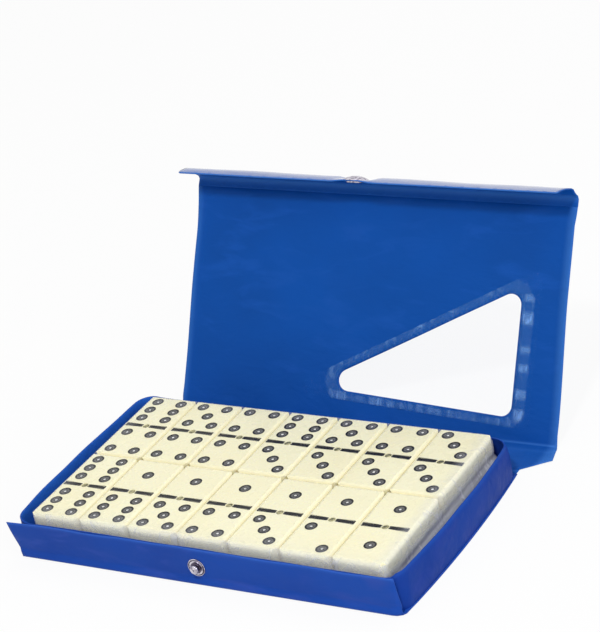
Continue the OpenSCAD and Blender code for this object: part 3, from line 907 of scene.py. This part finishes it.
point_values(tray, "pale", wall_pale)
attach(tray, "case")
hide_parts("tray_wall")


# Lathed metal parts

def lathe(points, faces, marks, profile, place, turns, materials):
    """Adds a turned solid to points and faces, and its materials' numbers to marks. The profile
    is (radius, height) from axis to axis."""
    rings = []
    for radius, height in profile:
        if radius < 1e-7:
            rings.append([len(points)])
            points.append(place @ Vector((0, 0, height)))
        else:
            rings.append(range(len(points), len(points) + turns))
            points += [place @ Vector((radius * math.cos(2 * math.pi * i / turns),
                                       radius * math.sin(2 * math.pi * i / turns), height))
                       for i in range(turns)]
    for a, b, material in zip(rings, rings[1:], materials):
        marks += [material] * turns
        for i in range(turns):
            j = (i + 1) % turns
            if len(a) == 1:
                faces.append((a[0], b[i], b[j]))
            elif len(b) == 1:
                faces.append((a[i], b[0], a[j]))
            else:
                faces.append((a[i], b[i], b[j], a[j]))


def weld(piece):
    """Joins points that lie on each other, and turns the faces outwards."""
    made = bmesh.new()
    made.from_mesh(piece.data)
    bmesh.ops.remove_doubles(made, verts=made.verts, dist=1e-7)
    bmesh.ops.recalc_face_normals(made, faces=made.faces)
    made.to_mesh(piece.data)
    made.free()


def snap_part(name, profile, place, body, node, grooves, closed=False):
    """A turned nickel part. grooves are the profile's steps that get the painted shade."""
    points, faces, marks = [], [], []
    ring = profile + [profile[0]] if closed else profile
    steps = [int(k in grooves) for k in range(len(ring) - 1)]
    lathe(points, faces, marks, ring, place, 48, steps)
    piece = add_piece(name, points, faces, [NICKEL, NICKEL_SHADE], 35, marks)
    weld(piece)
    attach(piece, body)
    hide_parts(node)


def facing(origin, direction, up=Vector((0, 0, 1))):
    """A matrix that turns +Z to a direction, at a place."""
    z = direction.normalized()
    x = up.cross(z).normalized()
    turn = Matrix((x, z.cross(x), z)).transposed().to_4x4()
    return Matrix.Translation(origin) @ turn


STUD_AT = facing(Vector((SNAP_X, front_low.y, SNAP_Z)), Vector((0, -1, 0)))
snap_part("stud", [(r * MM, h * MM) for r, h in [
    (0, -1.6), (1.3, -1.6), (1.3, 0), (4.05, 0), (4.2, 0.1), (4.2, 0.32), (4.05, 0.46),
    (3.85, 0.42), (3.7, 0.2), (3.5, 0.2), (3.35, 0.44), (3.0, 0.52), (2.65, 0.44), (2.4, 0.26),
    (1.9, 0.3), (1.68, 0.5), (1.64, 0.75), (1.66, 1.05), (1.85, 1.35), (2.04, 1.65), (2.1, 1.95),
    (2.04, 2.3), (1.85, 2.58), (1.5, 2.76), (1.05, 2.85), (0.7, 2.8), (0.4, 2.72), (0, 2.7)]],
    STUD_AT, "case", "snap_stud", (7, 8, 9, 12, 13, 14, 15, 16, 26))

snap_mid = (FLAP_CREASE + Vector((SNAP_X, 0, 0)) + FLAP_ALONG * FLAP_SNAP_AT
            + FLAP_OUT * SNAP_LIFT)
snap_out = (FLAP_OUT + FLAP_ALONG * SNAP_SLOPE).normalized()
CAP_AT = facing(snap_mid, snap_out, Vector((1, 0, 0)))
snap_part("cap", [(r * MM, (h + 0.3) * MM) for r, h in [
    (0, 1.8), (1.2, 1.74), (2.4, 1.56), (3.6, 1.24), (4.6, 0.86), (5.4, 0.46), (5.9, 0.16),
    (6.15, 0.0), (6.1, -0.12), (5.85, -0.14), (5.6, 0.0), (5.0, 0.3), (4.0, 0.7), (3.0, 0.95),
    (3.0, -1.1), (2.6, -1.1), (2.6, 1.0), (1.3, 1.3), (0, 1.4)]],
    CAP_AT, "flap", "snap_cap", (8, 9, 10, 11, 12, 13, 14, 15, 16, 17, 18))
snap_part("socket", [(r * MM, -(h + 0.3) * MM) for r, h in [
    (3.0, 0), (4.55, 0), (4.7, 0.12), (4.7, 0.54), (4.6, 0.7), (4.4, 0.77), (4.1, 0.8), (3.6, 0.77),
    (3.3, 0.68), (3.0, 0.66), (2.78, 0.75), (2.66, 0.72), (2.56, 0.6), (2.52, 0.4), (3.0, 0.4)]],
    CAP_AT, "flap", "snap_socket", (8, 9, 11, 12, 13, 14), closed=True)


# Dominoes. Tiles and pins keep the model's solids, and their paint is made here.

tile_nodes = sorted(name for name in frame["nodes"] if name.startswith("domino_"))
PIP_STEP = (6.4 * MM, 6.9 * MM)
HALF_CENTRE = 13.2 * MM
PIP_R, PIP_DEPTH = 2.8 * MM, 0.6 * MM
PLACES = {
    0: [], 1: [(0, 0)], 2: [(-1, 1), (1, -1)], 3: [(-1, 1), (0, 0), (1, -1)],
    4: [(-1, 1), (1, 1), (-1, -1), (1, -1)],
    5: [(-1, 1), (1, 1), (0, 0), (-1, -1), (1, -1)],
    6: [(-1, 1), (-1, 0), (-1, -1), (1, 1), (1, 0), (1, -1)]}

for name in tile_nodes + ["stud_washer", "spinner_pins"]:
    mesh = frame["nodes"][name].data
    mesh.materials.clear()
    mesh.materials.append({"stud_washer": NICKEL, "spinner_pins": BRASS}.get(name, IVORY))
    mesh.shade_smooth()
    mesh.set_sharp_from_angle(angle=math.radians(32))


def dimple(r):
    """Depth of the drilled hollow's surface at a distance r from its middle."""
    sphere = (PIP_R ** 2 + PIP_DEPTH ** 2) / (2 * PIP_DEPTH)
    return PIP_DEPTH - (sphere - math.sqrt(sphere ** 2 - r ** 2))


# The black fill is a shallow dish with a raised point and a sharp rim; the point carries a painted
# highlight, and a grey ring a painted reflection
DISH, RIM = 0.28 * MM, 0.02 * MM
pip_profile = [
    (0.0, 0.20), (0.36, 0.19), (0.6, 0.12), (0.72, 0.03), (0.9, 0.0), (1.02, 0.03), (1.25, 0.07),
    (1.6, 0.075), (1.95, 0.05), (2.15, 0.01), (2.4, 0.0), (2.76, 0.0)]
PIP_FLOOR = (2.2, 1.4, 0.7, 0.0)
# Material numbers: 0 the black fill, 1 the ring of painted reflection, 2 the painted highlight
pip_marks = [2, 2, 0, 0, 1, 1, 1, 1, 0, 0, 0] + [0] * len(PIP_FLOOR)
profile = [(r * MM, h * MM + RIM - DISH * (1 - (r * MM / PIP_R) ** 2)) for r, h in pip_profile]
profile += [(r * MM, RIM / 2 - dimple(r * MM)) for r in PIP_FLOOR]
TOP_LAYER = pack_low.z + 10 * MM
pip_points, pip_faces, marks = [], [], []
for name in tile_nodes:
    high, low = (int(word) for word in name.split("_")[1:])
    tile_low, tile_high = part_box(name)
    centre = (tile_low + tile_high) / 2
    top_front = centre.z > TOP_LAYER and centre.y < 0
    back, front = (low, high) if top_front else (high, low)
    for count, side in ((back, 1), (front, -1)):
        for px, py in PLACES[count]:
            spot = Vector((centre.x + px * PIP_STEP[0],
                           centre.y + side * HALF_CENTRE + py * PIP_STEP[1], tile_high.z))
            lathe(pip_points, pip_faces, marks, profile, Matrix.Translation(spot), 28, pip_marks)
pips = add_piece("pip_fill", pip_points, pip_faces, [BLACK, PIP_RING_REFLECTION, PIP_POINT_HIGHLIGHT], 40, marks)
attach(pips, "pack")
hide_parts("pip_paint")

# The fill of the two short lines on a tile: wider at the outer end, over the groove's edges,
# and hollow along its middle
LINE_FROM, LINE_TO = 1.75 * MM, 10.9 * MM
LINE_HALF = (1.1 * MM, 1.5 * MM)
LINE_SKIN, LINE_HOLLOW, LINE_ROOT = 0.03 * MM, 0.12 * MM, 0.3 * MM
LINE_STEPS, LINE_SIDES = 12, 9
line_points, line_faces = [], []
for name in tile_nodes:
    tile_low, tile_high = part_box(name)
    centre = (tile_low + tile_high) / 2
    for side in (-1, 1):
        first = len(line_points)
        for k in range(LINE_STEPS + 1):
            t = k / LINE_STEPS
            end = min(1, 0.85 + 3 * min(t, 1 - t))
            half = (LINE_HALF[0] + (LINE_HALF[1] - LINE_HALF[0]) * t) * end
            x = centre.x + side * (LINE_FROM + (LINE_TO - LINE_FROM) * t)
            hollow = LINE_HOLLOW * ease(0, 0.15, t) * ease(1, 0.85, t)
            for across, height in ((-1, -0.2 * LINE_SKIN), (-0.9, LINE_SKIN), (-0.5, -0.7 * hollow),
                                   (0, -hollow), (0.5, -0.7 * hollow), (0.9, LINE_SKIN),
                                   (1, -0.2 * LINE_SKIN), (0.6, -LINE_ROOT), (-0.6, -LINE_ROOT)):
                line_points.append(Vector((x, centre.y + across * half, tile_high.z + height)))
        for ring in range(first, first + LINE_SIDES * LINE_STEPS, LINE_SIDES):
            for i in range(LINE_SIDES):
                a, b = ring + i, ring + (i + 1) % LINE_SIDES
                line_faces.append((a, b, b + LINE_SIDES, a + LINE_SIDES))
        for end in (first, len(line_points) - LINE_SIDES):
            line_faces.append(tuple(range(end, end + LINE_SIDES)))
lines = add_piece("divider_fill", line_points, line_faces, [BLACK], 40)
weld(lines)
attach(lines, "pack")
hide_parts("divider_paint")


# Shrink film round the pack

LIP = 10 * MM
FILM_CORNER = 3 * MM
EDGE_R = 1.8 * MM
pack_mid = (pack_low + pack_high) / 2
pack_half = (pack_high - pack_low) / 2
film_tall = 2 * pack_half.z


def film_ring(inset):
    """Points round the pack's plan, moved in by inset, as (x, y, outward x, outward y)."""
    r = max(FILM_CORNER - inset, 1.2 * MM)
    hx, hy = pack_half.x - inset - r, pack_half.y - inset - r
    points = []
    for k, (cx, cy) in enumerate(((hx, hy), (-hx, hy), (-hx, -hy), (hx, -hy))):
        for i in range(7):
            a = (k + i / 6) * math.pi / 2
            points.append((cx + r * math.cos(a), cy + r * math.sin(a), math.cos(a), math.sin(a)))
        length, steps = (2 * hx, 110) if k % 2 == 0 else (2 * hy, 70)
        tx, ty = ((-1, 0), (0, -1), (1, 0), (0, 1))[k]
        last = points[-1]
        points += [(last[0] + tx * length * i / steps, last[1] + ty * length * i / steps,
                    last[2], last[3]) for i in range(1, steps)]
    return points


def arc_row(degrees, top):
    """Inset and height of the film on its rounded edge, 0 degrees on the side."""
    a = math.radians(degrees)
    drop = EDGE_R * (1 - math.sin(a))
    return EDGE_R * (1 - math.cos(a)), film_tall - drop if top else drop


film_rows = ([(LIP, 0), (0.5 * LIP, 0), (EDGE_R, 0)]
             + [arc_row(a, False) for a in (65, 40, 15)]
             + [(0, film_tall * h) for h in spread(0.12, 0.88, 0.055)]
             + [arc_row(a, True) for a in (15, 40, 65)]
             + [(inset, film_tall) for inset in spread(EDGE_R, LIP, 0.9 * MM)])
wrap_points, wrap_milky, wrap_present = [], [], []
for inset, z in film_rows:
    for x, y, nx, ny in film_ring(inset):
        right = ease_mm(80, 87, x)
        share = z / film_tall
        on_side = ease(0, 0.2, share) * ease(0, 0.2, 1 - share)
        crumple = 0.5 + 0.5 * wave(51, 7, x, y, 1.7 * z)
        bulge = ease(0.05, 0.25, share) * (1 - ease(0.35, 0.6, share))
        pinch = max(0, 1 - abs(share - 0.55) / 0.07)
        baggy = 0.6 * crumple + 1.1 * bulge - 0.35 * pinch
        move = (0.12 * on_side + right * on_side * baggy) * MM
        lift = 0.12 * MM * max(0, wave(57, 3.5, x, y, z)) if z == film_tall else 0
        wrap_points.append(Vector((pack_mid.x + x + nx * move, pack_mid.y + y + ny * move,
                                   pack_low.z + z + lift)))
        # The film's cloudiness on its sides, partly painted sheen, and painted glints over the
        # top's right end
        side_haze_and_sheen = 0.85 + 0.15 * right - (0.5 + 0.2 * right) * ease(0.55, 0.85, share)
        top_painted_glints = (0.03 + 0.11 * right) * (1 - ease(2 * MM, 0.9 * LIP, inset))
        wrap_milky.append(side_haze_and_sheen + (top_painted_glints - side_haze_and_sheen) * ease(0, EDGE_R, inset))
        wrap_present.append(1.0 - ease(0.3 * LIP, LIP, inset))
around = len(film_ring(0))
wrap_faces = []
for a in range(0, len(wrap_points) - around, around):
    b = a + around
    wrap_faces += [(a + i, a + (i + 1) % around, b + (i + 1) % around, b + i)
                   for i in range(around)]
wrap = add_piece("shrink_wrap", wrap_points, wrap_faces, [SHRINK_FILM])
point_values(wrap, "milky", wrap_milky)
point_values(wrap, "present", wrap_present)
thicken = wrap.modifiers.new("thickness", "SOLIDIFY")
thicken.thickness = 0.05 * MM
thicken.offset = 1
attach(wrap, "pack")
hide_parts("shrink_film")


# Camera, as fitted to the tiles' pips in the photograph

AZIMUTH, ELEVATION, ROLL = (math.radians(a) for a in (35.42, 26.55, -12.57))
DISTANCE = 1.0204
ASIDE, UP_SHIFT = 17.43 * MM, 68.14 * MM
FOCAL_PX, LONG_SIDE_PX, SENSOR_MM = 2380.72, 632, 36

back = Vector((math.sin(AZIMUTH) * math.cos(ELEVATION), -math.cos(AZIMUTH) * math.cos(ELEVATION),
               math.sin(ELEVATION)))
flat_right = Vector((math.cos(AZIMUTH), math.sin(AZIMUTH), 0))
flat_up = back.cross(flat_right)
right = flat_right * math.cos(ROLL) + flat_up * math.sin(ROLL)
up = -flat_right * math.sin(ROLL) + flat_up * math.cos(ROLL)
target = Vector((0, 0, 20 * MM)) + right * ASIDE + up * UP_SHIFT
camera_data = bpy.data.cameras.new("camera")
camera_data.sensor_width = SENSOR_MM
camera_data.lens = FOCAL_PX / LONG_SIDE_PX * SENSOR_MM
camera = bpy.data.objects.new("camera", camera_data)
camera.matrix_world = Matrix.Translation(target + back * DISTANCE) @ Matrix(
    (right, up, back)).transposed().to_4x4()
bpy.context.scene.collection.objects.link(camera)
bpy.context.scene.camera = camera


# Floor, lights and world

WORLD_LIGHT = 0.50
WHITE_SHARE = 0.9
FLOOR_HALF = 6.0


def background_share(tree):
    """1 for rays from the camera, from mirrors and through glass."""
    path = add_node(tree, "LightPath").outputs
    seen = maths(tree, "MAXIMUM", path["Is Camera Ray"], path["Is Glossy Ray"])
    return maths(tree, "MAXIMUM", seen, path["Is Transmission Ray"])


world = bpy.data.worlds.new("studio")
bpy.context.scene.world = world
world.use_nodes = True
tree = world.node_tree
set_inputs(tree, tree.nodes["Background"], Color=(1, 1, 1, 1), Strength=map_range(
    tree, background_share(tree), 0, 1, WORLD_LIGHT, 1.0, "LINEAR"))

floor_material, tree, shader = new_material("floor")
mottle = noise_output(tree, place_output(tree), 400, 2)
set_inputs(tree, shader, Roughness=0.9, Specular_IOR_Level=0.1, Base_Color=ramp(
    tree, mottle, (0.3, (0.90, 0.90, 0.905)), (0.7, (0.93, 0.93, 0.93))))
whiten = add_node(tree, "MixShader",
                  Fac=maths(tree, "MULTIPLY", background_share(tree), WHITE_SHARE))
feed(tree, whiten.inputs[1], shader.outputs["BSDF"])
feed(tree, whiten.inputs[2], add_node(tree, "Emission").outputs["Emission"])
set_inputs(tree, tree.nodes["Material Output"], Surface=whiten.outputs["Shader"])
floor = add_piece("floor", [(x * FLOOR_HALF, y * FLOOR_HALF, 0)
                            for x, y in ((-1, -1), (1, -1), (1, 1), (-1, 1))],
                  [(0, 1, 2, 3)], [floor_material])
floor.location.z = -0.05 * MM
floor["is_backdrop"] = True


def area_light(name, azimuth, elevation, distance, width, height, watts, colour=(1, 1, 1)):
    """A lamp that faces the middle. Its azimuth is 0 in front of the box, in degrees."""
    data = bpy.data.lights.new(name, "AREA")
    data.shape = "RECTANGLE"
    data.size, data.size_y = width, height
    data.energy = watts
    data.color = colour
    light = bpy.data.objects.new(name, data)
    a, e = math.radians(azimuth), math.radians(elevation)
    direction = Vector((math.sin(a) * math.cos(e), -math.cos(a) * math.cos(e), math.sin(e)))
    light.location = direction * distance
    light.rotation_mode = "QUATERNION"
    light.rotation_quaternion = direction.to_track_quat("Z", "Y")
    bpy.context.scene.collection.objects.link(light)


area_light("key", 20, 59, 1.6, 0.16, 0.16, 8.8)
area_light("fill", 72, 30, 1.8, 1.2, 0.9, 8, (0.97, 0.98, 1.0))
area_light("back_light", 170, 55, 1.8, 1.2, 0.8, 4)

bpy.context.scene.view_settings.view_transform = "Standard"

low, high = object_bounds()
